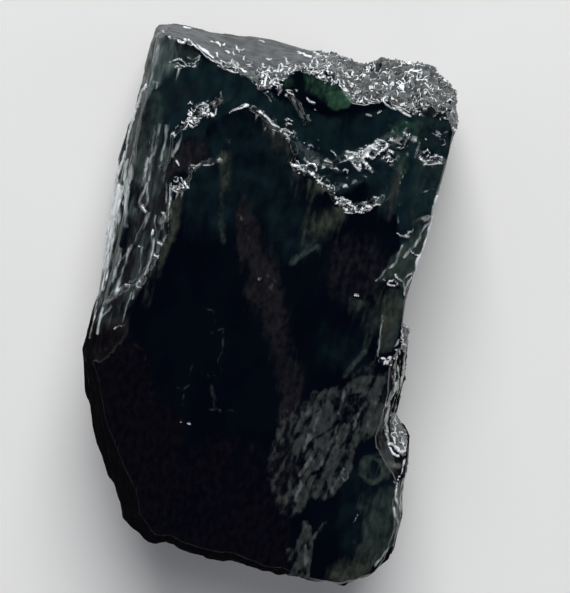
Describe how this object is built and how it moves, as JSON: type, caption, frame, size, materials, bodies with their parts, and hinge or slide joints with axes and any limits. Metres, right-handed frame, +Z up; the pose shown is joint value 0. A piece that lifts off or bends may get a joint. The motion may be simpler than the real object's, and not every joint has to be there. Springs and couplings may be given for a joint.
{
  "type": "raw serpentine stone",
  "caption": "Rough slab of dark green serpentine with a glossy flaked face, splintered sides and a granular broken end, lying flat.",
  "frame": {"origin": "on the surface that the stone rests on, under the middle of its bounding box", "axes": "+Y along the stone towards its broken granular end, +X to the right looking down on the glossy front face, +Z up out of the front face"},
  "size_m": [0.0433, 0.065, 0.0204],
  "materials": {
    "serpentine": "natural broken surface: glossy dark green front, satin and granular grey-green breaks"
  },
  "bodies": {
    "root": {"serpentine": "serpentine"}
  },
  "joints": []
}
